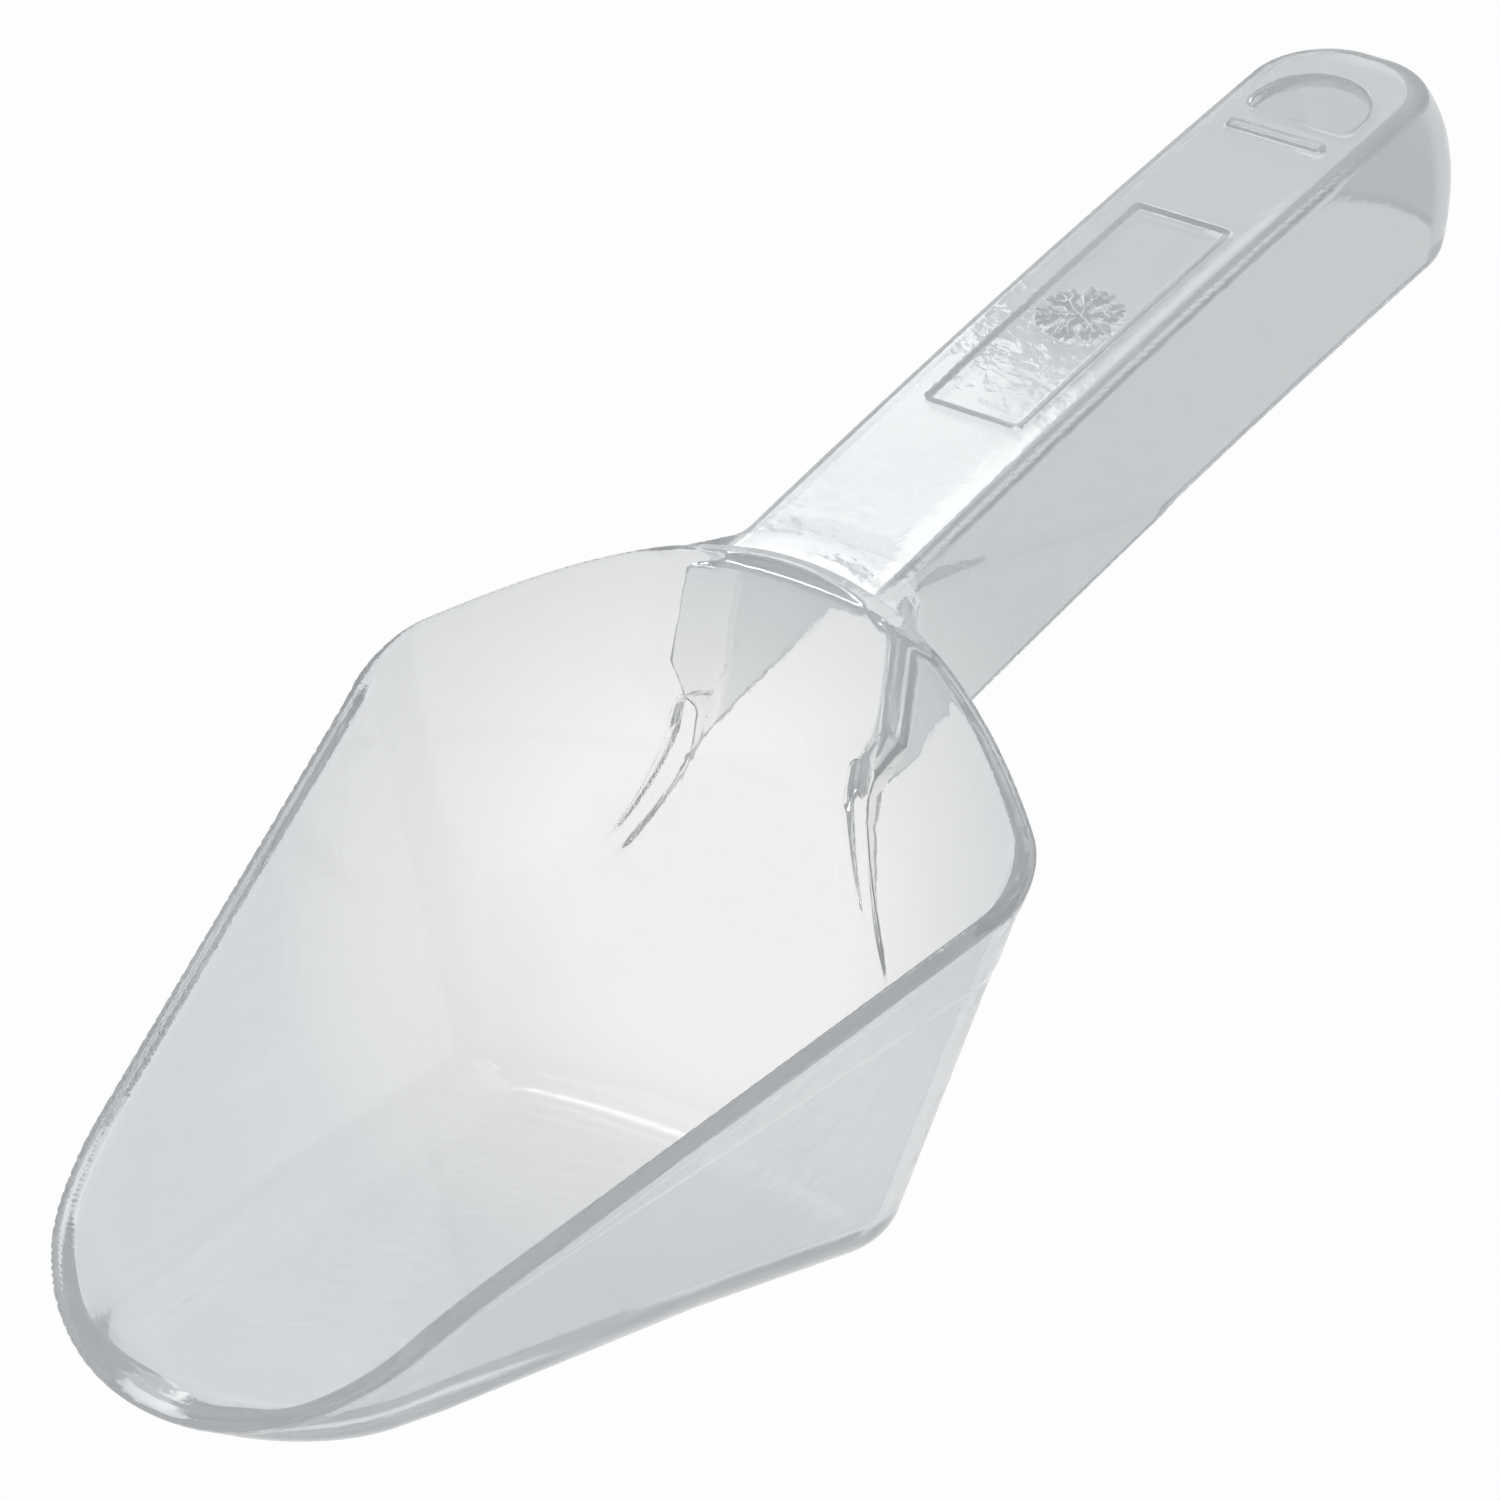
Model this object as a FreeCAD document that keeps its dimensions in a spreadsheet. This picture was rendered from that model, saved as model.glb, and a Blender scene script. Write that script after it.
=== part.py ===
import FreeCAD, Part
import math
import os
import Sketcher

# Ice scoop, moulded in one shot of clear plastic. Millimetres.
# +X runs forward to the tip, +Y is the scoop's left side and +Z is up. The flat base stands on z = 0.
# Shapes are drawn with x = 0 at the rim's tip, and both nodes are then moved so that the base is centred.
# The bowl is a drafted shell whose rim climbs from the tip to the handle. The handle is an upside-down
# channel, open underneath, that starts on the outside of the bowl's back wall.

doc = FreeCAD.newDocument("ice_scoop")

DIMENSIONS = {
    # the frame's origin is in the middle of the base, this far behind the tip
    "origin_shift": 49.2,
    # thicknesses
    "wall": 2.0,
    "floor": 3.2,
    "handle_wall": 1.8,
    # base outline: where it starts behind the tip, then its radii and its half width
    "base_tip_x": -3.4,
    "base_tip_radius": 17.5,
    "base_corner_x": -84.0,
    "base_half_width": 27.6,
    "base_corner_radius": 9.0,
    "base_back_radius": 95.5,
    # guide outline, on the tilted plane that the walls are drawn up to before the rim is trimmed
    "guide_height": 14.0,
    "guide_tilt": 31.0,
    "guide_tip_x": 8.2,
    "guide_tip_radius": 27.5,
    "guide_corner_x": -94.5,
    "guide_half_width": 47.8,
    "guide_corner_radius": 9.5,
    "guide_back_radius": 68.8,
    # rim line, seen from the side
    "rim_tip_height": 2.6,
    "rim_low_x": -21.0,
    "rim_low_height": 19.1,
    "rim_high_x": -77.0,
    "rim_high_height": 45.1,
    "rim_back_x": -98.9,
    "rim_back_height": 67.4,
    "bead_height": 2.0,
    "bead_proud": 0.4,
    # handle, measured along its own top face from the root
    "root_x": -99.0,
    "root_height": 66.0,
    "handle_tilt": 19.2,
    "handle_length": 115.5,
    "handle_half_width": 10.9,
    "handle_depth": 21.0,
    "handle_draft": 0.8,
    "end_radius": 9.5,
    "flare_radius": 12.0,
    "flare_half_width": 15.4,
    "flare_start": 10.0,
    "flare_slant": 10.5,
    "root_overlap": 30.0,
    # hanging hole and shallow panel in the handle's top face
    "hole_start": 97.5,
    "hole_half_width": 6.8,
    "hole_straight": 2.4,
    "panel_start": 33.4,
    "panel_length": 41.2,
    "panel_half_width": 6.2,
    "panel_depth": 0.4,
}

sheet = doc.addObject("Spreadsheet::Sheet", "dims")
for row, (alias, value) in enumerate(DIMENSIONS.items(), start=1):
    sheet.set("A%d" % row, alias)
    sheet.set("B%d" % row, str(value))
    sheet.setAlias("B%d" % row, alias)
doc.recompute()

START, END, CENTRE = 1, 2, 3
X_AXIS = -1
MARGIN = 30.0  # how far cutting shapes run past the scoop


def vec(x, y, z=0.0):
    return FreeCAD.Vector(x, y, z)


def arc(centre, radius, start_deg, end_deg):
    circle = Part.Circle(centre, vec(0, 0, 1), radius)
    return Part.ArcOfCircle(circle, math.radians(start_deg), math.radians(end_deg))


def bind(sketch, name, constraint, expression):
    """Add a dimension to a sketch and drive it from the spreadsheet."""
    index = sketch.addConstraint(constraint)
    sketch.renameConstraint(index, name)
    sketch.setExpression("Constraints." + name, expression)


def outline_sketch(name, kind, inset):
    """A bowl outline: tip arc, two straight sides, two corner arcs and a back arc, all tangent.

    kind picks the group of cells; inset is an expression taken off every radius and the half width.
    """
    cell = {key: DIMENSIONS[kind + "_" + key] for key in
            ("tip_x", "tip_radius", "corner_x", "half_width", "corner_radius", "back_radius")}
    inset_value = {"0": 0.0, "dims.wall": DIMENSIONS["wall"],
                   "-dims.bead_proud": -DIMENSIONS["bead_proud"]}[inset]
    tip_radius = cell["tip_radius"] - inset_value
    corner_radius = cell["corner_radius"] - inset_value
    back_radius = cell["back_radius"] - inset_value
    tip_x = cell["tip_x"] - cell["tip_radius"]
    corner_y = cell["half_width"] - cell["corner_radius"]
    reach = math.hypot(cell["corner_x"] - tip_x, corner_y)
    side = math.atan2(-corner_y, tip_x - cell["corner_x"])
    side += math.acos((corner_radius - tip_radius) / reach)
    back_x = cell["corner_x"] + math.sqrt((back_radius - corner_radius) ** 2 - corner_y ** 2)
    back = math.degrees(math.atan2(corner_y, cell["corner_x"] - back_x))
    side = math.degrees(side)
    sketch = doc.addObject("Sketcher::SketchObject", name)
    tip_at, corner_at = vec(tip_x, 0), vec(cell["corner_x"], corner_y)
    mirror_at = vec(cell["corner_x"], -corner_y)

    def on(centre, radius, degrees):
        angle = math.radians(degrees)
        return centre + vec(radius * math.cos(angle), radius * math.sin(angle))

    sketch.addGeometry(arc(tip_at, tip_radius, -side, side), False)
    left_side = Part.LineSegment(on(tip_at, tip_radius, side), on(corner_at, corner_radius, side))
    right_side = Part.LineSegment(on(mirror_at, corner_radius, -side), on(tip_at, tip_radius, -side))
    sketch.addGeometry(left_side, False)
    sketch.addGeometry(arc(corner_at, corner_radius, side, back), False)
    sketch.addGeometry(arc(vec(back_x, 0), back_radius, back, 360 - back), False)
    sketch.addGeometry(arc(mirror_at, corner_radius, 360 - back, 360 - side), False)
    sketch.addGeometry(right_side, False)
    tip, left, left_corner, rear, right_corner, right = range(6)
    joins = ((tip, END, left, START), (left, END, left_corner, START), (left_corner, END, rear, START),
             (rear, END, right_corner, START), (right_corner, END, right, START), (right, END, tip, START))
    for first, first_end, second, second_end in joins:
        sketch.addConstraint(Sketcher.Constraint("Tangent", first, first_end, second, second_end))
    sketch.addConstraint(Sketcher.Constraint("PointOnObject", tip, CENTRE, X_AXIS))
    taken_off = " - (" + inset + ")"
    cells = "dims." + kind + "_"
    bind(sketch, "tip_radius", Sketcher.Constraint("Radius", tip, tip_radius),
         cells + "tip_radius" + taken_off)
    bind(sketch, "tip_centre", Sketcher.Constraint("DistanceX", -1, START, tip, CENTRE, tip_x),
         cells + "tip_x - " + cells + "tip_radius")
    bind(sketch, "back_radius", Sketcher.Constraint("Radius", rear, back_radius),
         cells + "back_radius" + taken_off)
    for side_name, corner, sign in (("left", left_corner, 1), ("right", right_corner, -1)):
        ends = (-1, START, corner, CENTRE) if sign > 0 else (corner, CENTRE, -1, START)
        bind(sketch, side_name + "_radius", Sketcher.Constraint("Radius", corner, corner_radius),
             cells + "corner_radius" + taken_off)
        bind(sketch, side_name + "_centre_x",
             Sketcher.Constraint("DistanceX", -1, START, corner, CENTRE, cell["corner_x"]),
             cells + "corner_x")
        bind(sketch, side_name + "_centre_y", Sketcher.Constraint("DistanceY", *ends, corner_y),
             cells + "half_width - " + cells + "corner_radius")
    return sketch


def loft(name, *sections):
    shape = doc.addObject("Part::Loft", name)
    shape.Sections = list(sections)
    shape.Solid = True
    shape.Ruled = True
    return shape


def drafted_bowl(name, inset, lift):
    """The solid inside one skin of the bowl, from the base outline up to the tilted guide outline."""
    base = outline_sketch(name + "_base", "base", inset)
    base.setExpression("Placement.Base.z", lift)
    guide = outline_sketch(name + "_guide", "guide", inset)
    guide.setExpression("Placement.Base.z", "dims.guide_height")
    guide.Placement.Rotation = FreeCAD.Rotation(vec(0, 1, 0), DIMENSIONS["guide_tilt"])
    guide.setExpression("Placement.Rotation.Angle", "dims.guide_tilt * 1 deg")
    return loft(name, base, guide)


def side_point(name):
    return vec(DIMENSIONS[name + "_x"], DIMENSIONS[name + "_height"])


def tangent_arc(start, slope_deg, end):
    """An arc from start that leaves at a slope (measured from the X axis) and stops at end."""
    chord = end - start
    turn = math.atan2(chord.y, chord.x) - math.radians(slope_deg)
    radius = chord.Length / (2.0 * math.sin(turn))
    angle = math.radians(slope_deg)
    centre = start + vec(-math.sin(angle), math.cos(angle)) * radius
    return centre, abs(radius)


def rim_side_sketch():
    """The region under the rim, seen from the side: a droop at the tip, a straight climb, then a rise."""
    sketch = doc.addObject("Sketcher::SketchObject", "rim_side")
    tip = vec(0, DIMENSIONS["rim_tip_height"])
    low, high, back = side_point("rim_low"), side_point("rim_high"), side_point("rim_back")
    climb = high - low
    slope = math.degrees(math.atan2(climb.y, climb.x))
    low_centre, low_radius = tangent_arc(low, slope, tip)
    high_centre, high_radius = tangent_arc(high, slope, back)

    def angle_of(centre, point):
        return math.degrees(math.atan2(point.y - centre.y, point.x - centre.x))

    def short_arc(centre, radius, first, second):
        begin, finish = angle_of(centre, first), angle_of(centre, second)
        if (finish - begin) % 360 > 180:
            begin, finish = finish, begin
        return arc(centre, radius, begin, begin + (finish - begin) % 360)

    front_x, rear_x = MARGIN, DIMENSIONS["rim_back_x"] - MARGIN
    front_low, rear_low = vec(front_x, -MARGIN), vec(rear_x, -MARGIN)
    front_top, rear_top = vec(front_x, tip.y), vec(rear_x, back.y)
    sketch.addGeometry(Part.LineSegment(front_low, front_top), False)
    sketch.addGeometry(Part.LineSegment(front_top, tip), False)
    sketch.addGeometry(short_arc(low_centre, low_radius, tip, low), False)
    sketch.addGeometry(Part.LineSegment(low, high), False)
    sketch.addGeometry(short_arc(high_centre, high_radius, high, back), False)
    sketch.addGeometry(Part.LineSegment(back, rear_top), False)
    sketch.addGeometry(Part.LineSegment(rear_top, rear_low), False)
    sketch.addGeometry(Part.LineSegment(rear_low, front_low), False)

    def end_at(index, point):
        for position in (START, END):
            if sketch.getPoint(index, position).isEqual(point, 1e-6):
                return position
        raise ValueError("no end there")

    corners = (front_top, tip, low, high, back, rear_top, rear_low, front_low)
    for index, point in enumerate(corners):
        following = (index + 1) % len(corners)
        kind = "Tangent" if point in (low, high) else "Coincident"
        sketch.addConstraint(Sketcher.Constraint(kind, index, end_at(index, point),
                                                 following, end_at(following, point)))
    for index in (0, 6):
        sketch.addConstraint(Sketcher.Constraint("Vertical", index))
    for index in (1, 5, 7):
        sketch.addConstraint(Sketcher.Constraint("Horizontal", index))
    named = (("rim_tip", 1, tip, "0 mm", "dims.rim_tip_height"),
             ("rim_low", 2, low, "dims.rim_low_x", "dims.rim_low_height"),
             ("rim_high", 3, high, "dims.rim_high_x", "dims.rim_high_height"),
             ("rim_back", 4, back, "dims.rim_back_x", "dims.rim_back_height"))
    for name, index, point, along, height in named:
        ends = (-1, START, index, end_at(index, point))
        if name != "rim_tip":
            bind(sketch, name + "_x", Sketcher.Constraint("DistanceX", *ends, point.x), along)
        else:
            sketch.addConstraint(Sketcher.Constraint("PointOnObject", index, end_at(index, point), -2))
        bind(sketch, name + "_z", Sketcher.Constraint("DistanceY", *ends, point.y), height)
    sketch.addConstraint(Sketcher.Constraint("DistanceX", -1, START, 0, START, front_x))
    sketch.addConstraint(Sketcher.Constraint("DistanceX", -1, START, 6, START, rear_x))
    sketch.addConstraint(Sketcher.Constraint("DistanceY", -1, START, 7, START, -MARGIN))
    sketch.Placement.Rotation = FreeCAD.Rotation(vec(1, 0, 0), 90)
    return sketch


def under_rim(name, sketch):
    """Everything under the rim line, across the whole width of the bowl."""
    block = doc.addObject("Part::Extrusion", name)
    block.Base = sketch
    block.DirMode = "Normal"
    block.Solid = True
    block.Symmetric = True
    block.LengthFwd = 4 * DIMENSIONS["guide_half_width"]
    block.setExpression("LengthFwd", "4 * dims.guide_half_width")
    return block


def cut(name, base, tool):
    result = doc.addObject("Part::Cut", name)
    result.Base = base
    result.Tool = tool
    return result


def common(name, *shapes):
    result = doc.addObject("Part::MultiCommon", name)
    result.Shapes = list(shapes)
    return result


def fuse(name, *shapes):
    result = doc.addObject("Part::MultiFuse", name)
    result.Shapes = list(shapes)
    return result


def copy_lowered(name, sketch, drop):
    """The same extruded region, moved down by an amount from the spreadsheet."""
    block = under_rim(name, sketch)
    block.setExpression("Placement.Base.z", "-(" + drop + ")")
    return block


outer_skin = drafted_bowl("outer_skin", "0", "0 mm")
inner_skin = drafted_bowl("inner_skin", "dims.wall", "dims.floor")
bead_skin = drafted_bowl("bead_skin", "-dims.bead_proud", "0 mm")
rim_side = rim_side_sketch()
rim_region = under_rim("rim_region", rim_side)
doc.recompute()


def make_bowl():
    """The trimmed shell, with a small bead around the outside of its rim."""
    body = common("bowl_body", outer_skin, rim_region)
    band = cut("bead_band", rim_region, copy_lowered("below_bead", rim_side, "dims.bead_height"))
    ring = common("bead_ring", bead_skin, band)
    filled = fuse("filled_bowl", body, ring)
    return filled, cut("bowl", filled, inner_skin)


def handle_outline(name, grow, drop, slant):
    """The handle seen from above, with its flared root and rounded end, grown and lowered as asked.

    slant moves the flare forwards, so that at the handle's foot it still hugs the sloping back wall.
    """
    draft, wall = DIMENSIONS["handle_draft"], DIMENSIONS["handle_wall"]
    growth = {"0": 0.0, "dims.handle_draft": draft, "-dims.handle_wall": -wall,
              "dims.handle_draft - dims.handle_wall": draft - wall}[grow]
    length = DIMENSIONS["handle_length"] + growth
    half = DIMENSIONS["handle_half_width"] + growth
    corner = DIMENSIONS["end_radius"] + growth
    flare = DIMENSIONS["flare_radius"] - growth
    root_half = DIMENSIONS["flare_half_width"] + growth
    flare_x = DIMENSIONS["flare_start"] - (0.0 if slant == "0" else DIMENSIONS["flare_slant"])
    flare_y = half + flare
    lean = math.asin((flare_y - root_half) / flare)
    root_x = flare_x - flare * math.cos(lean)
    front = -DIMENSIONS["root_overlap"]
    bend = math.degrees(lean)
    sketch = doc.addObject("Sketcher::SketchObject", name)
    left_side = [Part.LineSegment(vec(front, root_half), vec(root_x, root_half)),
                 arc(vec(flare_x, flare_y), flare, 180 + bend, 270),
                 Part.LineSegment(vec(flare_x, half), vec(length - corner, half)),
                 arc(vec(length - corner, half - corner), corner, 0, 90)]
    right_side = [Part.LineSegment(vec(front, -root_half), vec(root_x, -root_half)),
                  arc(vec(flare_x, -flare_y), flare, 90, 180 - bend),
                  Part.LineSegment(vec(flare_x, -half), vec(length - corner, -half)),
                  arc(vec(length - corner, corner - half), corner, 270, 360)]
    ends = [Part.LineSegment(vec(length, half - corner), vec(length, corner - half)),
            Part.LineSegment(vec(front, -root_half), vec(front, root_half))]
    for edge in left_side + right_side + ends:
        sketch.addGeometry(edge, False)
    root, bow, side, tail = 0, 1, 2, 3
    mirror = 4
    end_line, front_line = 8, 9
    for shift, near_end in ((0, (START, END)), (mirror, (END, START))):
        flare_start, flare_end = near_end
        tail_start, tail_end = (END, START) if shift == 0 else (START, END)
        sketch.addConstraint(Sketcher.Constraint("Coincident", root + shift, END, bow + shift, flare_start))
        sketch.addConstraint(Sketcher.Constraint("Tangent", bow + shift, flare_end, side + shift, START))
        sketch.addConstraint(Sketcher.Constraint("Tangent", side + shift, END, tail + shift, tail_start))
        sketch.addConstraint(Sketcher.Constraint("Tangent", tail + shift, tail_end, end_line,
                                                 START if shift == 0 else END))
        sketch.addConstraint(Sketcher.Constraint("Coincident", root + shift, START, front_line,
                                                 END if shift == 0 else START))
        sketch.addConstraint(Sketcher.Constraint("Horizontal", root + shift))
        sketch.addConstraint(Sketcher.Constraint("Horizontal", side + shift))
        label = "left_" if shift == 0 else "right_"
        up = (-1, START) if shift == 0 else ()
        down = () if shift == 0 else (-1, START)
        grown = " + (" + grow + ")"
        bind(sketch, label + "half", Sketcher.Constraint("DistanceY", *up, side + shift, START, *down, half),
             "dims.handle_half_width" + grown)
        bind(sketch, label + "root",
             Sketcher.Constraint("DistanceY", *up, root + shift, START, *down, root_half),
             "dims.flare_half_width" + grown)
        bind(sketch, label + "corner", Sketcher.Constraint("Radius", tail + shift, corner),
             "dims.end_radius" + grown)
        bind(sketch, label + "flare", Sketcher.Constraint("Radius", bow + shift, flare),
             "dims.flare_radius - (" + grow + ")")
        bind(sketch, label + "flare_x",
             Sketcher.Constraint("DistanceX", -1, START, bow + shift, CENTRE, flare_x),
             "dims.flare_start - (" + slant + ")")
    sketch.addConstraint(Sketcher.Constraint("Vertical", end_line))
    sketch.addConstraint(Sketcher.Constraint("Vertical", front_line))
    bind(sketch, "length", Sketcher.Constraint("DistanceX", -1, START, end_line, START, length),
         "dims.handle_length" + grown)
    bind(sketch, "front", Sketcher.Constraint("DistanceX", front_line, START, -1, START, -front),
         "dims.root_overlap")
    sketch.setExpression("Placement.Base.z", "-(" + drop + ")")
    return sketch


def box(name, **expressions):
    """A Part box whose sizes and corner all come from expressions."""
    block = doc.addObject("Part::Box", name)
    for key, expression in expressions.items():
        block.setExpression(key.replace("_", "."), expression)
    return block


def hanging_hole():
    """A D-shaped hole: straight across towards the bowl, round towards the handle's end."""
    disc = doc.addObject("Part::Cylinder", "hole_round")
    disc.setExpression("Radius", "dims.hole_half_width")
    disc.setExpression("Height", "dims.handle_depth * 2")
    disc.setExpression("Placement.Base.x", "dims.hole_start + dims.hole_straight")
    disc.setExpression("Placement.Base.z", "-dims.handle_depth")
    side = box("hole_side", Length="dims.hole_half_width * 2", Width="dims.hole_half_width * 2",
               Height="dims.handle_depth * 2", Placement_Base_x="dims.hole_start",
               Placement_Base_y="-dims.hole_half_width", Placement_Base_z="-dims.handle_depth")
    straight = box("hole_straight_part", Length="dims.hole_straight", Width="dims.hole_half_width * 2",
                   Height="dims.handle_depth * 2", Placement_Base_x="dims.hole_start",
                   Placement_Base_y="-dims.hole_half_width", Placement_Base_z="-dims.handle_depth")
    return fuse("hanging_hole", common("hole_round_part", disc, side), straight)


def place_at_root(shape):
    """Carry a shape drawn flat, along its own +X, up to the handle's root and tilt it up and back."""
    turn = FreeCAD.Rotation(vec(0, 0, 1), 180)
    lift = FreeCAD.Rotation(vec(0, 1, 0), DIMENSIONS["handle_tilt"])
    shape.Placement = FreeCAD.Placement(vec(0, 0, 0), lift.multiply(turn))
    shape.setExpression("Placement.Base.x", "dims.root_x")
    shape.setExpression("Placement.Base.z", "dims.root_height")


def make_handle(filled_bowl):
    """The channel with its hole and panel, trimmed where it meets the outside of the bowl."""
    top = handle_outline("handle_top", "0", "0 mm", "0")
    foot = handle_outline("handle_foot", "dims.handle_draft", "dims.handle_depth", "dims.flare_slant")
    outside = loft("handle_outside", top, foot)
    hollow_top = handle_outline("hollow_top", "-dims.handle_wall", "dims.handle_wall", "0")
    hollow_foot = handle_outline("hollow_foot", "dims.handle_draft - dims.handle_wall",
                                 "dims.handle_depth + dims.handle_wall", "dims.flare_slant")
    inside = loft("handle_inside", hollow_top, hollow_foot)
    panel = box("panel", Length="dims.panel_length", Width="dims.panel_half_width * 2",
                Height="dims.handle_wall", Placement_Base_x="dims.panel_start",
                Placement_Base_y="-dims.panel_half_width", Placement_Base_z="-dims.panel_depth")
    channel = cut("channel", outside, inside)
    holed = cut("holed_channel", channel, hanging_hole())
    flat = cut("flat_handle", holed, panel)
    place_at_root(flat)
    clear_of_skin = cut("handle_behind_bowl", flat, outer_skin)
    return cut("handle", clear_of_skin, filled_bowl)


filled_bowl, bowl = make_bowl()
handle = make_handle(filled_bowl)
for node in (bowl, handle):
    node.setExpression("Placement.Base.x", "dims.origin_shift")
doc.recompute()

for item in doc.Objects:
    if "Invalid" in item.State or "Error" in item.State:
        raise RuntimeError("%s failed: %s" % (item.Label, item.State))

os.makedirs("parts", exist_ok=True)
for node in (bowl, handle):
    shape = node.Shape
    if shape.isNull() or not shape.isValid():
        raise RuntimeError(node.Label + " has no valid shape")
    print(node.Label, len(shape.Solids), "solid", round(shape.Volume), "mm3, centre", shape.CenterOfGravity)
    shape.exportStep("parts/" + node.Label + ".step")
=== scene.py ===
import math

import bmesh
import bpy
import numpy as np
from mathutils import Matrix, Vector


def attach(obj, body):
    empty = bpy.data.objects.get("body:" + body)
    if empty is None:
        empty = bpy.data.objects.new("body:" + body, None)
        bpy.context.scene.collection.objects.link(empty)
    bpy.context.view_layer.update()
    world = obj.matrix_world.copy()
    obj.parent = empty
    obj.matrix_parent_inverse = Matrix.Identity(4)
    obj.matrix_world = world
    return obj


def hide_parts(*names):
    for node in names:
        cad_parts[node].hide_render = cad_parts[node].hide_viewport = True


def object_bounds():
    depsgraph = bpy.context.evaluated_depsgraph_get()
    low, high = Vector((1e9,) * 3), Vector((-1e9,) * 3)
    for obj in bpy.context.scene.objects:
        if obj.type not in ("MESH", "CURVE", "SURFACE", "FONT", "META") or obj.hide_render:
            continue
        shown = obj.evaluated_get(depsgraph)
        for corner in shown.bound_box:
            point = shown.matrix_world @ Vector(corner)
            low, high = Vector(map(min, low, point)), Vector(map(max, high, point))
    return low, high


# A clear moulded ice scoop. Its skin is the zero level of one distance field, in millimetres, that joins
# the bowl, the rim bead and the channel handle with true round fillets and an even wall. The field is
# turned into one mesh, and the mesh is cut across the handle's root into the two pieces, bowl and handle.

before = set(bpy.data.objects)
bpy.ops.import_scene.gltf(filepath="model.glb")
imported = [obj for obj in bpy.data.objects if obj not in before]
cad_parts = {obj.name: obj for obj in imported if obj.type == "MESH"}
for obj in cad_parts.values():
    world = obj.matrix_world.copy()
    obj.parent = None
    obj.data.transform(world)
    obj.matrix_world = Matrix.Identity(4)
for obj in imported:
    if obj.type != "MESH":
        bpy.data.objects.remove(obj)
cad_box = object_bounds()
MM = 0.001

# ---- driving dimensions, mm ----------------------------------------------------------------------------
WALL = 2.0
FLOOR = 3.2
HANDLE_WALL = 1.8
BASE_FILLET = 6.2  # at the heel; it shrinks towards the tip
BASE_FILLET_LENGTH = 60.0
TIP_FILLET = 0.4
FLOOR_FILLET = 4.0
BEAD_PROUD = 0.4
BEAD_HEIGHT = 2.0

# the bowl's wall is drawn between two outlines: one on the base, one on a tilted guide plane above the rim
BASE = dict(tip_x=-3.4, tip_radius=17.5, corner_x=-84.0, half_width=27.6, corner_radius=9.0, back_x=-95.0)
GUIDE = dict(tip_x=8.2, tip_radius=27.5, corner_x=-94.5, half_width=47.8, corner_radius=9.5, back_x=-118.0)
# the field has x = 0 at the tip, but the frame's origin is under the middle of the base
TIP_X = -(BASE["tip_x"] + BASE["back_x"]) / 2
GUIDE_HEIGHT = 14.0
GUIDE_TILT = math.radians(31.0)

# the rim line seen from the side: a straight climb that droops at the tip and sweeps up at the handle
RIM_START = 9.4
RIM_CLIMB = 0.463
RIM_DROOP = 7.2
RIM_DROOP_LENGTH = 21.0
RIM_RISE = 10.0
RIM_RISE_START = 77.0
RIM_RISE_LENGTH = 21.5
RIM_BACK_X = -101.0

ROOT_X = -99.0
ROOT_HEIGHT = 66.0
ROOT_OVERLAP = 20.0  # the handle is drawn starting inside the bowl's cavity, which cuts it away
HANDLE_TILT = math.radians(19.2)
HANDLE_LENGTH = 113.5
HANDLE_HALF_WIDTH = 10.9
HANDLE_DEPTH = 21.0
HANDLE_DRAFT = 0.04  # sideways growth for each mm down
HANDLE_CAMBER = 1.1  # the handle's rise in the middle of its length
END_RADIUS = 9.5
END_BULGE = 3.6  # how far the end wall bows out halfway down
TOP_EDGE_RADIUS = 1.8
NECK_FILLET = 10.0
NECK_FADE = 9.0  # the neck's fillet dies out over this height above the handle's open foot
NECK_EDGE = 1.5
SOFT_EDGE = 0.6  # rounding of an outer edge
FINE_EDGE = 0.5  # rounding where a hollow is cut

RIB_TOP = 46.0
RIB_DROP = 18.5
RIB_HALF_GAP = 12.0
RIB_SPREAD = 8.0
RIB_LEAN = 0.85  # the rib runs aslant, so its thickness is less than its width along Y
RIB_HALF_THICKNESS = 1.2
RIB_PROUD = 4.5
RIB_BURIED = 0.3  # the rib's lower end dies out under the wall's skin
RIB_EDGE = 0.8
RIB_FRONT = 86.0

HOLE_START = 97.5
HOLE_HALF_WIDTH = 6.8
HOLE_STRAIGHT = 2.4
PANEL_START = 33.4
PANEL_LENGTH = 41.2
PANEL_HALF_WIDTH = 6.2
PANEL_DEPTH = 0.35
PANEL_EDGE = 0.8  # width of the slope down into the panel
MARK_HEIGHT = 0.3
MARK_RADIUS = 4.6
MARK_STROKE = 0.4
BARB_START = 0.55  # shares of the mark's radius
BARB_REACH = 0.3
MARK_EDGE = 0.5  # width of the slope up to the mark
RIDGE_MIDDLE = 93.2
RIDGE_HALF_LENGTH = 0.7

GRID = 0.5


# ---- joining distances ---------------------------------------------------------------------------------
def round_max(a, b, radius):
    """Both a and b inside, with their shared edge rounded."""
    corner = np.hypot(np.maximum(a + radius, 0), np.maximum(b + radius, 0))
    return np.minimum(np.maximum(a, b), -radius) + corner


def round_min(a, b, radius):
    """Either a or b inside, with a round fillet where they meet."""
    corner = np.hypot(np.maximum(radius - a, 0), np.maximum(radius - b, 0))
    return np.maximum(np.minimum(a, b), radius) - corner


def blend(key, t):
    return BASE[key] + (GUIDE[key] - BASE[key]) * t


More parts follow.
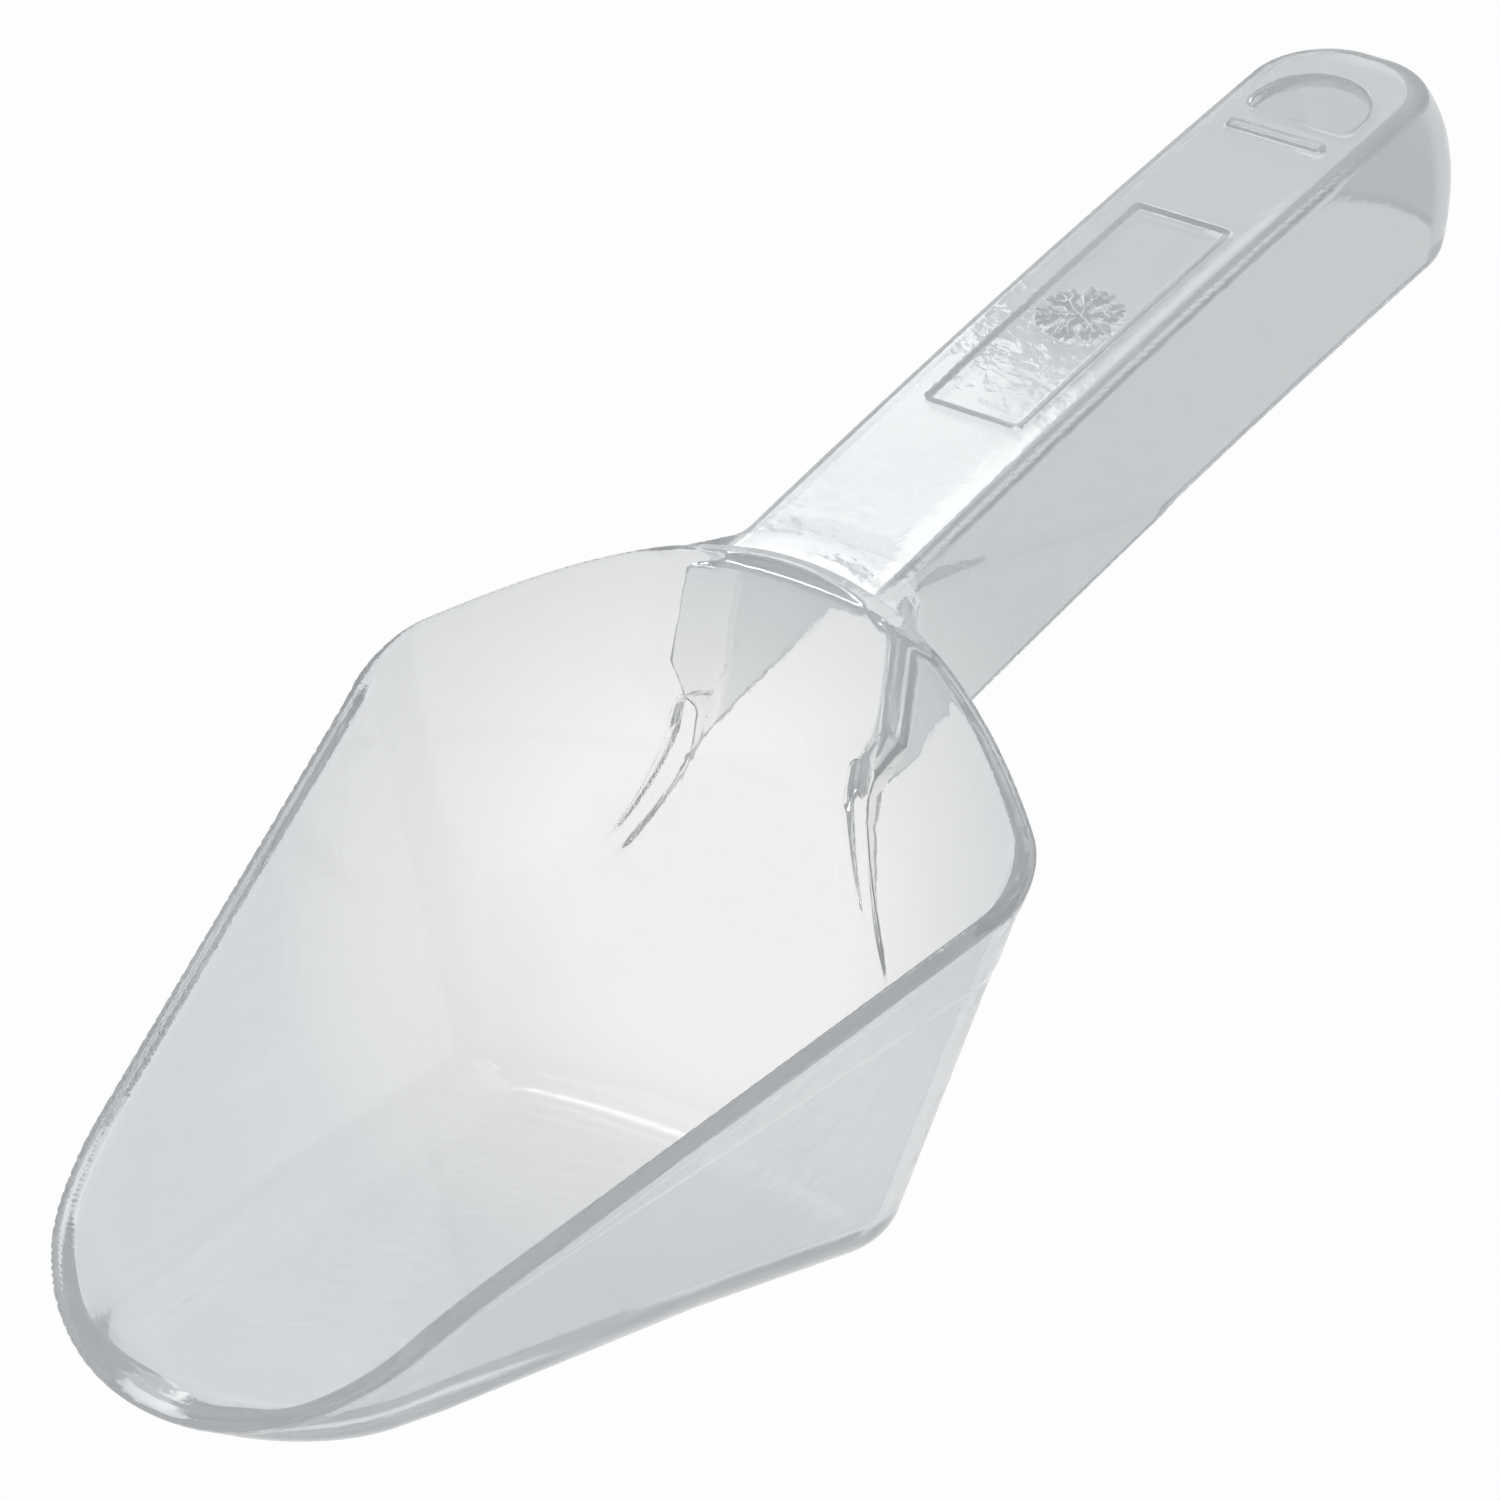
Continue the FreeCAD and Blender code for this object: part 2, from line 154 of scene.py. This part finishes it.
# ---- the bowl ------------------------------------------------------------------------------------------
def outline_parts(t):
    """The tangent circles and side line of the outline at a level: centres, radii and joining angles."""
    tip_radius = blend("tip_radius", t)
    radius = blend("corner_radius", t)
    tip_x = blend("tip_x", t) - tip_radius
    corner_x = blend("corner_x", t)
    corner_y = blend("half_width", t) - radius
    bulge = corner_x - blend("back_x", t)
    back_radius = (bulge ** 2 + corner_y ** 2 - radius ** 2) / (2 * (bulge - radius))
    back_x = blend("back_x", t) + back_radius
    run = tip_x - corner_x
    side = np.arctan2(-corner_y, run) + np.arccos((radius - tip_radius) / np.hypot(run, corner_y))
    rear = np.arctan2(corner_y, corner_x - back_x)
    return tip_x, tip_radius, corner_x, corner_y, radius, back_x, back_radius, side, rear


def outline_distance(x, y, t):
    """Distance from the outline at level t, and the x of the matching point on the guide outline.

    Matching points sit the same share of the way along the same arc or line, as on a ruled surface.
    """
    tip_x, tip_radius, corner_x, corner_y, radius, back_x, back_radius, side, rear = outline_parts(t)
    guide = outline_parts(1.0)
    tip_top, tip_wide, corner_top, _, corner_wide, back_top, back_wide, side_top, rear_top = guide
    normal_x, normal_y = np.cos(side), np.sin(side)
    from_tip = (tip_x - x) * normal_y + y * normal_x
    side_length = np.sqrt((tip_x - corner_x) ** 2 + corner_y ** 2 - (tip_radius - radius) ** 2)
    before = from_tip < 0
    in_corner = (from_tip > side_length) & ((corner_x - back_x) * y <= corner_y * (x - back_x))

    tip = np.hypot(x - tip_x, y) - tip_radius
    line = (x - tip_x) * normal_x + y * normal_y - tip_radius
    corner = np.hypot(x - corner_x, y - corner_y) - radius
    back = np.hypot(x - back_x, y) - back_radius
    distance = np.where(before, tip, np.where(in_corner, corner, np.maximum(line, back)))

    tip_turn = np.arctan2(y, x - tip_x) / side
    corner_turn = (np.arctan2(y - corner_y, x - corner_x) - side) / (rear - side)
    back_turn = (math.pi - np.arctan2(y, x - back_x)) / (math.pi - rear)
    tip_match = tip_top + (tip_wide + distance) * np.cos(tip_turn * side_top)
    side_start = tip_top + (tip_wide + distance) * math.cos(side_top)
    side_end = corner_top + (corner_wide + distance) * math.cos(side_top)
    side_match = side_start + (side_end - side_start) * from_tip / side_length
    corner_angle = side_top + corner_turn * (rear_top - side_top)
    corner_match = corner_top + (corner_wide + distance) * np.cos(corner_angle)
    back_match = back_top - (back_wide + distance) * np.cos(back_turn * (math.pi - rear_top))
    match = np.where(back > line, back_match, side_match)
    match = np.where(before, tip_match, np.where(in_corner, corner_match, match))
    return distance, match


def wall_level(x, y, z):
    """The outline distance on the ruled surface, from base to guide outline, that passes through a point."""
    y = np.abs(y)
    guide_x = x / math.cos(GUIDE_TILT)
    for _ in range(4):
        t = np.clip(z / (GUIDE_HEIGHT - guide_x * math.sin(GUIDE_TILT)), -0.2, 1.1)
        stretched = x * (1 + t * (1 / math.cos(GUIDE_TILT) - 1))
        level, guide_x = outline_distance(stretched, y, t)
        guide_x = np.minimum(guide_x, GUIDE["tip_x"] + 3.0)
    return level


def wall_distance(x, y, z):
    """Distance from the bowl's outer wall, and how far its outward normal leans towards +X."""
    step = 0.05
    level = wall_level(x, y, z)
    slope_x = (wall_level(x + step, y, z) - level) / step
    slope_y = (wall_level(x, y + step, z) - level) / step
    slope_z = (wall_level(x, y, z + step) - level) / step
    slope = np.sqrt(slope_x ** 2 + slope_y ** 2 + slope_z ** 2)
    flat = np.maximum(np.hypot(slope_x, slope_y), 0.3)
    return level / np.clip(slope, 0.8, 1.3), slope_x / flat


def rim_distance(x, z, normal_x, wall):
    """Distance above the rim line, which is level across the wall's thickness."""
    back = np.clip(wall * normal_x - x, -4.0, -RIM_BACK_X)
    droop = np.maximum(1 - back / RIM_DROOP_LENGTH, 0)
    rise = np.maximum((back - RIM_RISE_START) / RIM_RISE_LENGTH, 0)
    height = RIM_START + RIM_CLIMB * back - RIM_DROOP * droop ** 2 + RIM_RISE * rise ** 2
    climb = RIM_CLIMB + 2 * RIM_DROOP * droop / RIM_DROOP_LENGTH + 2 * RIM_RISE * rise / RIM_RISE_LENGTH
    along = climb * np.sqrt(np.maximum(1 - normal_x ** 2, 0))
    return (z - height) / np.sqrt(1 + along ** 2)


# ---- the handle ----------------------------------------------------------------------------------------
def handle_axes(x, z):
    """A point along the handle from its root, and its height over the handle's top face."""
    dx, dz = x - ROOT_X, z - ROOT_HEIGHT
    along = -dx * math.cos(HANDLE_TILT) + dz * math.sin(HANDLE_TILT)
    over = dx * math.sin(HANDLE_TILT) + dz * math.cos(HANDLE_TILT)
    share = np.clip(along / HANDLE_LENGTH, 0, 1)
    return along, over - HANDLE_CAMBER * 4 * share * (1 - share)


def handle_side(along, y, over):
    """Distance from the handle's drafted sides and rounded end."""
    down = np.clip(-over / HANDLE_DEPTH, -0.1, 1.1)
    grow = -over * HANDLE_DRAFT
    bulge = END_BULGE * 4 * down * (1 - down)
    radius = END_RADIUS + grow
    past_end = along - (HANDLE_LENGTH + grow + bulge - radius)
    past_side = np.abs(y) - (HANDLE_HALF_WIDTH + grow - radius)
    outside = np.hypot(np.maximum(past_end, 0), np.maximum(past_side, 0))
    return outside + np.minimum(np.maximum(past_end, past_side), 0) - radius


def rounded_box(u, v, half_u, half_v, radius):
    du, dv = np.abs(u) - half_u + radius, np.abs(v) - half_v + radius
    return np.hypot(np.maximum(du, 0), np.maximum(dv, 0)) + np.minimum(np.maximum(du, dv), 0) - radius


def foot_rib(x, y, z, wall):
    """A tapering rib that carries each side wall of the handle down and outwards over the bowl's back."""
    down = np.clip((RIB_TOP - z) / RIB_DROP, -0.4, 1.0)
    middle = RIB_HALF_GAP + RIB_SPREAD * np.maximum(down, 0) ** 1.5
    side = np.abs(np.abs(y) - middle) * RIB_LEAN - RIB_HALF_THICKNESS * (1 - 0.3 * down)
    proud = RIB_PROUD * (1 - down) - RIB_BURIED
    rib = round_max(side, wall - proud, RIB_EDGE)
    rib = np.maximum(rib, RIB_TOP - RIB_DROP - z)
    return np.maximum(round_max(rib, z - RIB_TOP - 3, 1.0), x + RIB_FRONT)


def snowflake(u, v):
    """Distance from the strokes of a six-armed snowflake, the generic mark in the panel."""
    radius = np.hypot(u, v)
    turn = np.abs((np.arctan2(v, u) + math.pi / 6) % (math.pi / 3) - math.pi / 6)
    ahead, aside = radius * np.cos(turn), radius * np.sin(turn)
    arm = np.maximum(aside - MARK_STROKE, ahead - MARK_RADIUS)
    barb = np.abs(ahead - aside - MARK_RADIUS * BARB_START) * math.sqrt(0.5) - MARK_STROKE
    barb = np.maximum(barb, aside - MARK_RADIUS * BARB_REACH)
    return np.minimum(arm, barb)


def panel_step(along, y):
    """How far the handle's top face is sunk: a shallow label panel, less its mark and a ridge by the hole."""
    middle = PANEL_START + PANEL_LENGTH / 2
    edge = rounded_box(along - middle, y, PANEL_LENGTH / 2, PANEL_HALF_WIDTH, 1.0)
    sunk = PANEL_DEPTH * np.clip(0.5 - edge / PANEL_EDGE, 0, 1)
    ridge = rounded_box(along - RIDGE_MIDDLE, y, RIDGE_HALF_LENGTH, PANEL_HALF_WIDTH, FINE_EDGE)
    raised = np.minimum(snowflake(along - middle, y), ridge)
    return sunk - MARK_HEIGHT * np.clip(0.5 - raised / MARK_EDGE, 0, 1)


def hanging_hole(along, y):
    """Distance from the D-shaped hole, seen square to the handle's top."""
    past = np.maximum(along - HOLE_START - HOLE_STRAIGHT, 0)
    return round_max(np.hypot(past, y) - HOLE_HALF_WIDTH, HOLE_START - along, 1.2)


# ---- the whole skin ------------------------------------------------------------------------------------
def scoop_distance(x, y, z):
    x = x - TIP_X
    wall, normal_x = wall_distance(x, y, z)
    rim = rim_distance(x, z, normal_x, wall)
    along, over = handle_axes(x, z)
    top = over + panel_step(along, y)
    side = np.maximum(handle_side(along, y, over), -ROOT_OVERLAP - along)
    foot = -over - HANDLE_DEPTH

    fillet = BASE_FILLET * np.clip(-x / BASE_FILLET_LENGTH, TIP_FILLET, 1)
    bowl_solid = round_max(round_max(wall, -z, fillet), rim, SOFT_EDGE)
    bar = round_max(side, top, TOP_EDGE_RADIUS)
    neck = NECK_FILLET * np.clip((over + HANDLE_DEPTH) / NECK_FADE, 0.1, 1)
    gusset = round_max(round_min(wall, side, neck), round_max(over, rim, 1.0), NECK_EDGE)
    open_bar = round_min(bar, gusset, 0.8)
    hull = round_min(bowl_solid, round_max(open_bar, foot, SOFT_EDGE), SOFT_EDGE)
    channel = round_max(round_min(wall, open_bar, 2.0) + HANDLE_WALL, -wall, 1.5)
    solid = round_max(hull, -channel, FINE_EDGE)
    solid = round_min(solid, foot_rib(x, y, z, wall), 0.8)

    middle = (BEAD_PROUD - WALL) / 2
    half_band = (BEAD_PROUD + WALL) / 2
    bead = rounded_box(wall - middle, rim + BEAD_HEIGHT / 2, half_band, BEAD_HEIGHT / 2, FINE_EDGE)
    solid = round_min(solid, bead, 0.3)
    cavity = round_max(wall + WALL, FLOOR - z, FLOOR_FILLET)
    solid = round_max(solid, -cavity, FINE_EDGE)
    hole = np.maximum(hanging_hole(along, y), -over - HANDLE_DEPTH / 2)
    return round_max(solid, -hole, FINE_EDGE)


def field_slope(points, step=0.02):
    x, y, z = points.T
    slope = np.stack([scoop_distance(x + step, y, z) - scoop_distance(x - step, y, z),
                      scoop_distance(x, y + step, z) - scoop_distance(x, y - step, z),
                      scoop_distance(x, y, z + step) - scoop_distance(x, y, z - step)], axis=1)
    return slope / (2 * step)


# ---- field to mesh -------------------------------------------------------------------------------------
def sample_field(low, high, spacing):
    """The field on a fine grid. A coarse pass finds the blocks near the skin, and only those are refined."""
    block = 4
    width = block * spacing
    sizes = np.ceil((high - low) / width).astype(int)
    centres = [low[i] + (np.arange(sizes[i]) + 0.5) * width - spacing / 2 for i in range(3)]
    grid = scoop_distance(*np.meshgrid(*centres, indexing="ij")).astype(np.float32)
    for axis in range(3):
        grid = np.repeat(grid, block, axis=axis)
    near = np.abs(grid) < 1.5 * width
    index = np.argwhere(near)
    values = np.empty(len(index), np.float32)
    chunk = 400000
    for start in range(0, len(index), chunk):
        part = low + index[start:start + chunk] * spacing
        values[start:start + chunk] = scoop_distance(*part.T)
    grid[near] = values
    return grid


def surface_net(low, grid, spacing):
    """One vertex per grid cell that the surface crosses, joined into quads across every crossed grid edge."""
    inside = grid < 0
    cells = np.array(grid.shape) - 1
    corners = np.zeros(cells, np.int8)
    for i in (0, 1):
        for j in (0, 1):
            for k in (0, 1):
                corners += inside[i:i + cells[0], j:j + cells[1], k:k + cells[2]]
    active = (corners > 0) & (corners < 8)
    number = np.full(cells, -1, np.int64)
    number[active] = np.arange(active.sum())
    index = np.argwhere(active)

    total = np.zeros((len(index), 3))
    count = np.zeros(len(index))
    for axis in range(3):
        others = [a for a in range(3) if a != axis]
        for first in (0, 1):
            for second in (0, 1):
                begin = index.copy()
                begin[:, others[0]] += first
                begin[:, others[1]] += second
                end = begin.copy()
                end[:, axis] += 1
                a = grid[tuple(begin.T)]
                b = grid[tuple(end.T)]
                crossed = (a < 0) != (b < 0)
                share = np.where(crossed, a / np.where(crossed, a - b, 1), 0)
                point = begin.astype(float)
                point[:, axis] += share
                total += point * crossed[:, None]
                count += crossed
    points = low + total / count[:, None] * spacing

    quads = []
    for axis in range(3):
        one, two = [a for a in range(3) if a != axis]
        low_end = [slice(1, -1)] * 3
        high_end = [slice(1, -1)] * 3
        low_end[axis], high_end[axis] = slice(0, -1), slice(1, None)
        a, b = inside[tuple(low_end)], inside[tuple(high_end)]
        for leaving in (True, False):
            edges = np.argwhere((a & ~b) if leaving else (~a & b))
            edges[:, one] += 1
            edges[:, two] += 1
            ring = []
            for back_one, back_two in ((1, 1), (0, 1), (0, 0), (1, 0)):
                cell = edges.copy()
                cell[:, one] -= back_one
                cell[:, two] -= back_two
                ring.append(number[tuple(cell.T)])
            if leaving == (axis == 1):
                ring.reverse()
            quads.append(np.stack(ring, axis=1))
    return points, np.concatenate(quads)


def settle(points, faces, rounds):
    """Even out the vertices along the surface, then put each one back on the zero level."""
    links = np.concatenate([faces[:, [0, 1]], faces[:, [1, 2]], faces[:, [2, 3]], faces[:, [3, 0]]])
    links = np.unique(np.sort(links, axis=1), axis=0)
    degree = np.bincount(links.ravel(), minlength=len(points))[:, None]
    for _ in range(rounds):
        total = np.zeros_like(points)
        for axis in range(3):
            total[:, axis] = (np.bincount(links[:, 0], points[links[:, 1], axis], len(points))
                              + np.bincount(links[:, 1], points[links[:, 0], axis], len(points)))
        move = total / degree - points
        slope = field_slope(points)
        normal = slope / np.linalg.norm(slope, axis=1)[:, None]
        move -= normal * (move * normal).sum(1)[:, None]
        points = onto_surface(points + 0.5 * move)
    return points


def onto_surface(points):
    for _ in range(2):
        distance = scoop_distance(*points.T)
        slope = field_slope(points)
        square = np.clip((slope ** 2).sum(1), 0.25, 4.0)
        step = np.clip(distance / square, -GRID, GRID)
        points = points - slope * step[:, None]
    return points


def scoop_mesh():
    margin = 2 * GRID
    low = np.array(cad_box[0]) / MM - 2.0 - margin
    high = np.array(cad_box[1]) / MM + 2.0 + margin
    grid = sample_field(low, high, GRID)
    points, faces = surface_net(low, grid, GRID)
    points = settle(onto_surface(points), faces, 3)
    return points, faces


# ---- two pieces ----------------------------------------------------------------------------------------
SPLIT_BACK = 5.0  # the cut runs parallel to the bowl's back wall, this far behind it


def split_plane():
    lean = math.atan2(BASE["back_x"] - RIM_BACK_X, ROOT_HEIGHT)
    normal = Vector((-math.cos(lean), 0, -math.sin(lean)))
    point = Vector((RIM_BACK_X + TIP_X, 0, ROOT_HEIGHT)) + normal * SPLIT_BACK
    return point, normal


def make_piece(name, points, faces, keep_behind, materials):
    """The part of the skin on one side of the cut, closed across the cut with a flat face."""
    mesh = bpy.data.meshes.new(name)
    mesh.from_pydata(points.tolist(), [], faces.tolist())
    work = bmesh.new()
    work.from_mesh(mesh)
    point, normal = split_plane()
    everything = list(work.verts) + list(work.edges) + list(work.faces)
    bmesh.ops.bisect_plane(work, geom=everything, dist=1e-5, plane_co=point, plane_no=normal,
                           clear_outer=not keep_behind, clear_inner=keep_behind)
    edges = [e for e in work.edges if e.is_boundary]
    before = set(work.faces)
    bmesh.ops.triangle_fill(work, use_beauty=True, edges=edges, normal=normal if not keep_behind else -normal)
    for face in work.faces:
        face.smooth = True
        if face not in before:
            face.material_index = 1
    bmesh.ops.recalc_face_normals(work, faces=list(work.faces))
    work.to_mesh(mesh)
    work.free()
    set_normals(mesh, normal if not keep_behind else -normal)
    mesh.transform(Matrix.Scale(MM, 4))
    piece = bpy.data.objects.new(name, mesh)
    bpy.context.scene.collection.objects.link(piece)
    for material in materials:
        mesh.materials.append(material)
    return piece


def set_normals(mesh, cap_normal):
    """Shade from the field itself, so that both pieces match exactly along the cut."""
    count = len(mesh.vertices)
    points = np.empty(count * 3)
    mesh.vertices.foreach_get("co", points)
    slope = field_slope(points.reshape(-1, 3))
    slope /= np.linalg.norm(slope, axis=1)[:, None]
    corner = np.empty(len(mesh.loops), np.int64)
    mesh.loops.foreach_get("vertex_index", corner)
    normals = slope[corner]
    for face in mesh.polygons:
        if face.material_index == 1:
            normals[face.loop_start:face.loop_start + face.loop_total] = cap_normal
    mesh.normals_split_custom_set(normals.tolist())


# ---- materials -----------------------------------------------------------------------------------------
UNSHADED_CENTRE = ((TIP_X - 91.0) * MM, -0.004, 0.030)  # painted shade: the plastic's tint is palest around the bowl's heel and darkens away from it
PAINTED_SHADE_AND_HAZE_START = 0.020
PAINTED_SHADE_AND_HAZE_FULL = 0.046
SPECKLE_SCALE = 420.0
SPECKLE_STRENGTH = 0.25
SPECKLE_DEPTH = 0.0002
WEAR_SCALE = 60.0


def node(tree, kind, **values):
    made = tree.nodes.new(kind)
    for key, value in values.items():
        setattr(made, key, value)
    return made


def noise(tree, place, scale, detail):
    made = node(tree, "ShaderNodeTexNoise")
    made.inputs["Scale"].default_value = scale
    made.inputs["Detail"].default_value = detail
    tree.links.new(place, made.inputs["Vector"])
    return made.outputs["Fac"]


def remap(tree, value, low, high, to_low, to_high):
    made = node(tree, "ShaderNodeMapRange")
    made.inputs["From Min"].default_value = low
    made.inputs["From Max"].default_value = high
    made.inputs["To Min"].default_value = to_low
    made.inputs["To Max"].default_value = to_high
    tree.links.new(value, made.inputs["Value"])
    return made.outputs["Result"]


def distance_from(tree, place, centre):
    """How far a point on the object is from a centre given in metres."""
    made = node(tree, "ShaderNodeVectorMath", operation="DISTANCE")
    tree.links.new(place, made.inputs[0])
    made.inputs[1].default_value = centre
    return made.outputs["Value"]


def mix_colour(tree, share, first, second):
    made = node(tree, "ShaderNodeMix", data_type="RGBA")
    tree.links.new(share, made.inputs["Factor"])
    made.inputs[6].default_value = (*first, 1)
    made.inputs[7].default_value = (*second, 1)
    return made.outputs[2]


def clear_plastic(name, unshaded_tint, painted_shade_tint, milk):
    """Clear plastic: glass that darkens a little at each face, with painted shade that deepens its tint away
    from the heel, a milky haze and moulding speckle.
    """
    material = bpy.data.materials.new(name)
    material.use_nodes = True
    tree = material.node_tree
    tree.nodes.clear()
    out = node(tree, "ShaderNodeOutputMaterial")
    place = node(tree, "ShaderNodeTexCoord").outputs["Object"]
    from_middle = distance_from(tree, place, UNSHADED_CENTRE)
    painted_shade = remap(tree, from_middle, PAINTED_SHADE_AND_HAZE_START, PAINTED_SHADE_AND_HAZE_FULL, 0.0, 1.0)
    # painted shade: the tint runs from the unshaded colour near the heel to the darker one further away
    colour = mix_colour(tree, painted_shade, unshaded_tint, painted_shade_tint)

    speckle = noise(tree, place, SPECKLE_SCALE, 3.0)
    bump = node(tree, "ShaderNodeBump")
    bump.inputs["Strength"].default_value = SPECKLE_STRENGTH
    bump.inputs["Distance"].default_value = SPECKLE_DEPTH
    tree.links.new(speckle, bump.inputs["Height"])

    body = node(tree, "ShaderNodeBsdfPrincipled")
    body.inputs["Transmission Weight"].default_value = 1.0
    body.inputs["IOR"].default_value = 1.5
    tree.links.new(colour, body.inputs["Base Color"])
    wear = noise(tree, place, WEAR_SCALE, 4.0)
    tree.links.new(remap(tree, wear, 0.35, 0.7, 0.03, 0.12), body.inputs["Roughness"])
    tree.links.new(bump.outputs["Normal"], body.inputs["Normal"])

    lit = node(tree, "ShaderNodeBsdfDiffuse")
    through = node(tree, "ShaderNodeBsdfTranslucent")
    for soft in (lit, through):
        soft.inputs["Color"].default_value = (0.66, 0.68, 0.69, 1)
        tree.links.new(bump.outputs["Normal"], soft.inputs["Normal"])
    haze = node(tree, "ShaderNodeMixShader")
    haze.inputs["Fac"].default_value = 0.5
    tree.links.new(lit.outputs["BSDF"], haze.inputs[1])
    tree.links.new(through.outputs["BSDF"], haze.inputs[2])
    plastic = node(tree, "ShaderNodeMixShader")
    tree.links.new(remap(tree, from_middle, PAINTED_SHADE_AND_HAZE_START, PAINTED_SHADE_AND_HAZE_FULL, 0.4 * milk, milk), plastic.inputs["Fac"])
    tree.links.new(body.outputs["BSDF"], plastic.inputs[1])
    tree.links.new(haze.outputs["Shader"], plastic.inputs[2])

    clear = node(tree, "ShaderNodeBsdfTransparent")
    clear.inputs["Color"].default_value = (0.93, 0.94, 0.95, 1)
    mix = node(tree, "ShaderNodeMixShader")
    path = node(tree, "ShaderNodeLightPath")
    tree.links.new(path.outputs["Is Shadow Ray"], mix.inputs["Fac"])
    tree.links.new(plastic.outputs["Shader"], mix.inputs[1])
    tree.links.new(clear.outputs["BSDF"], mix.inputs[2])
    tree.links.new(mix.outputs["Shader"], out.inputs["Surface"])
    return material


def joint_face():
    """The two pieces are one moulding, so nothing shows where they meet."""
    material = bpy.data.materials.new("joint_face")
    material.use_nodes = True
    tree = material.node_tree
    tree.nodes.clear()
    out = node(tree, "ShaderNodeOutputMaterial")
    clear = node(tree, "ShaderNodeBsdfTransparent")
    tree.links.new(clear.outputs["BSDF"], out.inputs["Surface"])
    return material


FLOOR_GLOW = 0.985  # an evenly lit table, bright enough to read as just below white


def make_floor():
    half = 3.0
    mesh = bpy.data.meshes.new("floor")
    corners = [(-half, -half, 0), (half, -half, 0), (half, half, 0), (-half, half, 0)]
    mesh.from_pydata(corners, [], [(0, 1, 2, 3)])
    floor = bpy.data.objects.new("floor", mesh)
    bpy.context.scene.collection.objects.link(floor)
    floor.location.z = -0.0003
    material = bpy.data.materials.new("pale_floor")
    material.use_nodes = True
    tree = material.node_tree
    tree.nodes.clear()
    out = node(tree, "ShaderNodeOutputMaterial")
    glow = node(tree, "ShaderNodeEmission")
    glow.inputs["Color"].default_value = (1, 1, 1, 1)
    glow.inputs["Strength"].default_value = FLOOR_GLOW
    tree.links.new(glow.outputs["Emission"], out.inputs["Surface"])
    mesh.materials.append(material)


def make_world():
    world = bpy.data.worlds.new("studio")
    bpy.context.scene.world = world
    world.use_nodes = True
    tree = world.node_tree
    back = tree.nodes["Background"]
    back.inputs["Color"].default_value = (0.8, 0.82, 0.84, 1)
    back.inputs["Strength"].default_value = 0.4


def area_light(name, place, target, size, power):
    data = bpy.data.lights.new(name, "AREA")
    data.shape = "RECTANGLE"
    data.size, data.size_y = size
    data.energy = power
    light = bpy.data.objects.new(name, data)
    bpy.context.scene.collection.objects.link(light)
    light.location = place
    aim = Vector(target) - Vector(place)
    light.rotation_euler = aim.to_track_quat("-Z", "Y").to_euler()
    return light


CAMERA_AZIMUTH = 0.6034  # from +X towards +Y
CAMERA_HEIGHT = 0.3839
CAMERA_ROLL = 0.0901
CAMERA_DISTANCE = 0.8925
CAMERA_TARGET = (TIP_X * MM - 0.0939, 0.0, 0.0482)
CAMERA_LENS = 201.5


def make_camera():
    data = bpy.data.cameras.new("camera")
    data.lens = CAMERA_LENS
    data.clip_start = 0.01
    camera = bpy.data.objects.new("camera", data)
    bpy.context.scene.collection.objects.link(camera)
    level = math.cos(CAMERA_HEIGHT)
    turn_x, turn_y = math.cos(CAMERA_AZIMUTH), math.sin(CAMERA_AZIMUTH)
    back = Vector((turn_x * level, turn_y * level, math.sin(CAMERA_HEIGHT)))
    right = Vector((-turn_y, turn_x, 0))
    up = back.cross(right)
    turned_right = math.cos(CAMERA_ROLL) * right + math.sin(CAMERA_ROLL) * up
    turned_up = math.cos(CAMERA_ROLL) * up - math.sin(CAMERA_ROLL) * right
    axes = Matrix((turned_right, turned_up, back)).transposed().to_4x4()
    camera.matrix_world = Matrix.Translation(Vector(CAMERA_TARGET) + back * CAMERA_DISTANCE) @ axes
    bpy.context.scene.camera = camera


points, faces = scoop_mesh()
seam = joint_face()
# painted shade: both pieces are one moulding, yet the handle's copy of the plastic is tinted darker than the
# bowl's
bowl_plastic = clear_plastic("clear_bowl", (0.95, 0.945, 0.93), (0.76, 0.77, 0.785), 0.2)
shaded_handle_plastic = clear_plastic("clear_handle", (0.80, 0.81, 0.81), (0.56, 0.575, 0.575), 0.27)
bowl = make_piece("bowl_shell", points, faces, False, (bowl_plastic, seam))
handle = make_piece("handle_channel", points, faces, True, (shaded_handle_plastic, seam))
for piece, cad_node, slot in ((bowl, "bowl", "clear_bowl"), (handle, "handle", "clear_handle")):
    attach(piece, "root")
    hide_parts(cad_node)

make_floor()
make_world()
area_light("key", (-0.4, 0.9, 1.2), (-0.1, 0, 0.03), (0.9, 0.9), 4.5)
area_light("top", (-0.44, -0.61, 0.90), (-0.06, 0, 0.068), (0.2, 0.45), 1.5)
area_light("top_soft", (-0.60, -0.56, 0.91), (-0.12, 0, 0.09), (0.32, 0.45), 1.0)
area_light("fill", (0.7, -0.7, 0.9), (-0.1, 0, 0.03), (0.9, 0.9), 2.0)
make_camera()
bpy.context.scene.view_settings.view_transform = "Standard"
